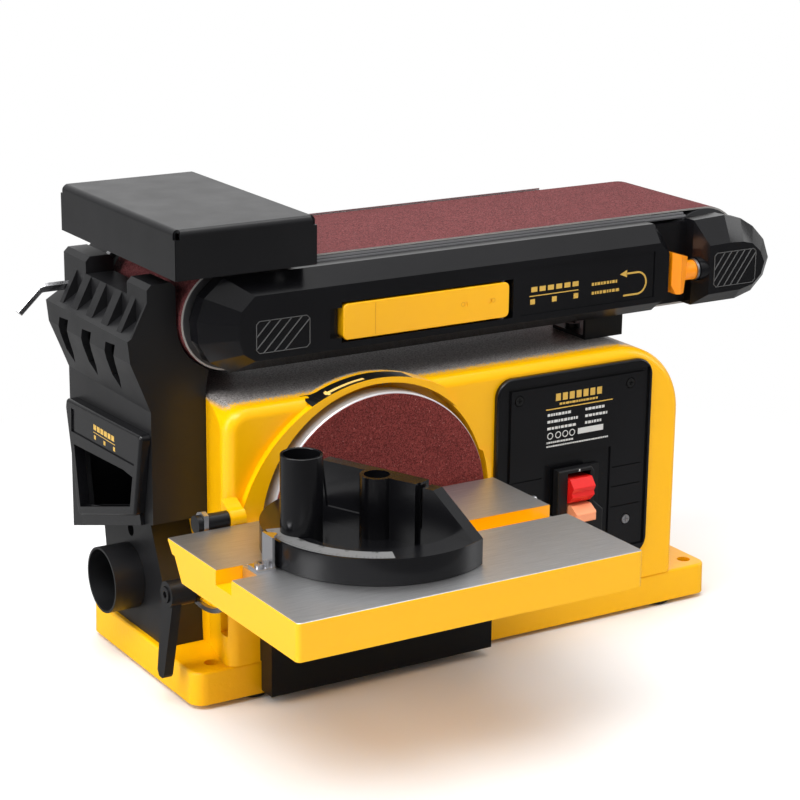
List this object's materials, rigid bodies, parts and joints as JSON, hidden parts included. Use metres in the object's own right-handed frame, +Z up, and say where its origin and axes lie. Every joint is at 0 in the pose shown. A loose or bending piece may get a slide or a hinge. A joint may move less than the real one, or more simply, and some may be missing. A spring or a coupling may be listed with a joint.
{
  "type": "belt disc sander",
  "caption": "Bench belt and disc sander with a tilting belt arm, a tilting table with mitre gauge, and a dust hood.",
  "frame": {"origin": "centre of the four bench bolt holes, on the underside of the base casting", "axes": "+X to the operator's right, along the belt; +Y away from the operator; +Z up"},
  "size_m": [0.493, 0.3835, 0.2941],
  "materials": {
    "yellow_casting": "glossy yellow enamel with a fine orange peel",
    "black_plastic": "satin black moulding with a fine grain",
    "black_gloss_plastic": "polished black moulding",
    "black_sheet": "semi-gloss black powder coat",
    "yellow_plastic": "glossy yellow moulding",
    "orange_plastic": "glossy orange moulding",
    "red_plastic": "glossy red moulding",
    "peach_plastic": "glossy peach moulding",
    "abrasive_belt": "cloth-backed grit, dull brown red",
    "abrasive_disc": "paper-backed grit, dull dark red",
    "cast_aluminium": "brushed or machined",
    "steel": "bright turned steel",
    "zinc_steel": "bright zinc plate",
    "dark_iron": "laminated core and cast iron",
    "copper": "enamelled copper wire",
    "rubber": "matt black rubber"
  },
  "bodies": {
    "housing": {"base_casting": "yellow_casting", "rubber_feet": "rubber", "body_housing": "yellow_casting", "rear_panel": "black_sheet", "motor_shell": "black_sheet", "motor_stator": "dark_iron", "motor_windings": "copper", "motor_bearings": "steel", "lower_disc_guard": "black_sheet", "control_panel": "black_gloss_plastic", "housing_screws": "steel", "switch_housing": "black_plastic", "table_bolts": "black_sheet", "drum_bracket": "cast_aluminium", "drum_bearings": "steel", "drive_belt": "rubber", "pulley_cover": "black_plastic", "dust_hood": "black_plastic", "hood_grip": "black_gloss_plastic", "dust_port": "black_plastic", "support_bracket": "black_sheet", "power_cord": "rubber"},
    "spindle": {"motor_rotor": "dark_iron", "motor_shaft": "steel", "motor_fan": "black_plastic", "motor_pulley": "cast_aluminium", "disc_plate": "cast_aluminium", "sanding_disc": "abrasive_disc"},
    "drum": {"drive_drum": "dark_iron", "drum_shaft": "steel", "drum_pulley": "cast_aluminium"},
    "arm": {"belt_arm": "dark_iron", "platen": "steel", "guard_rail": "zinc_steel", "sanding_belt": "abrasive_belt", "belt_front_cover": "black_gloss_plastic", "nose_cover": "black_gloss_plastic", "lever_pin": "steel"},
    "fork": {"idler_fork": "dark_iron", "idler_shaft": "steel", "tension_spring": "steel"},
    "idler": {"idler_drum": "dark_iron", "idler_bearings": "steel"},
    "tension_handle": {"tension_lever": "yellow_plastic"},
    "tracking": {"tracking_knob": "orange_plastic", "tracking_screw": "steel"},
    "stop": {"stop_box": "black_sheet", "stop_bracket": "black_sheet"},
    "table": {"disc_table": "yellow_casting", "table_bracket_left": "steel", "table_bracket_right": "zinc_steel"},
    "lock_handle": {"table_lock_lever": "black_plastic"},
    "gauge_bar": {"mitre_bar": "cast_aluminium", "mitre_screws": "steel", "mitre_pointer": "zinc_steel"},
    "gauge_head": {"mitre_head": "black_plastic"},
    "gauge_handle": {"mitre_handle": "black_plastic"},
    "rocker": {"switch_rocker": "red_plastic"},
    "key": {"safety_key": "peach_plastic"},
    "hex_wrench": {"hex_key": "zinc_steel"}
  },
  "joints": [
    {"name": "disc_spin", "type": "hinge", "parent": "housing", "child": "spindle", "pos_m": [-0.075, 0, 0.1055], "axis": [0, 1, 0], "continuous": true},
    {"name": "drum_spin", "type": "hinge", "parent": "housing", "child": "drum", "pos_m": [-0.154, 0.014, 0.228], "axis": [0, 1, 0], "continuous": true},
    {"name": "belt_tilt", "type": "hinge", "parent": "housing", "child": "arm", "pos_m": [-0.154, 0.014, 0.228], "axis": [0, -1, 0], "range_deg": [0, 90]},
    {"name": "idler_slide", "type": "slide", "parent": "arm", "child": "fork", "axis": [-1, 0, 0], "range_m": [0, 0.008]},
    {"name": "idler_spin", "type": "hinge", "parent": "fork", "child": "idler", "pos_m": [0.20357, 0.014, 0.228], "axis": [0, 1, 0], "continuous": true},
    {"name": "belt_tension", "type": "hinge", "parent": "arm", "child": "tension_handle", "pos_m": [0.0255, -0.059, 0.223], "axis": [0, 0, 1], "range_deg": [0, 75.1]},
    {"name": "tracking_turn", "type": "hinge", "parent": "arm", "child": "tracking", "pos_m": [0.162, -0.0545, 0.2235], "axis": [1, 0, 0], "range_deg": [-30, 30]},
    {"name": "stop_shift", "type": "slide", "parent": "arm", "child": "stop", "axis": [1, 0, 0], "range_m": [0, 0.15]},
    {"name": "table_tilt", "type": "hinge", "parent": "housing", "child": "table", "pos_m": [-0.107, -0.08, 0.119], "axis": [1, 0, 0], "range_deg": [0, 40]},
    {"name": "table_lock", "type": "hinge", "parent": "housing", "child": "lock_handle", "pos_m": [-0.206, -0.06704, 0.07382], "axis": [1, 0, 0], "range_deg": [-80, 15]},
    {"name": "gauge_slide", "type": "slide", "parent": "table", "child": "gauge_bar", "axis": [1, 0, 0], "range_m": [-0.015, 0.068]},
    {"name": "gauge_angle", "type": "hinge", "parent": "gauge_bar", "child": "gauge_head", "pos_m": [-0.1235, -0.1565, 0.117], "axis": [0, 0, 1], "range_deg": [-60, 35]},
    {"name": "gauge_clamp", "type": "hinge", "parent": "gauge_head", "child": "gauge_handle", "pos_m": [-0.17032, -0.1524, 0.15], "axis": [0, 0, 1], "range_deg": [0, 270]},
    {"name": "switch_press", "type": "hinge", "parent": "housing", "child": "rocker", "pos_m": [0.07235, -0.074, 0.096], "axis": [1, 0, 0], "range_deg": [-12, 0]},
    {"name": "key_pull", "type": "slide", "parent": "housing", "child": "key", "axis": [0, -1, 0], "range_m": [0, 0.012]},
    {"name": "hex_key_pull", "type": "slide", "parent": "housing", "child": "hex_wrench", "axis": [-1, 0, 0], "range_m": [0, 0.03]}
  ],
  "couplings": [
    {"joint": "drum_spin", "follows": "disc_spin", "ratio": 0.75},
    {"joint": "idler_spin", "follows": "disc_spin", "ratio": 0.75},
    {"joint": "belt_tension", "follows": "idler_slide", "rad_per_m": 163.62},
    {"joint": "stop_shift", "follows": "belt_tilt", "m_per_rad": 0.095493}
  ]
}
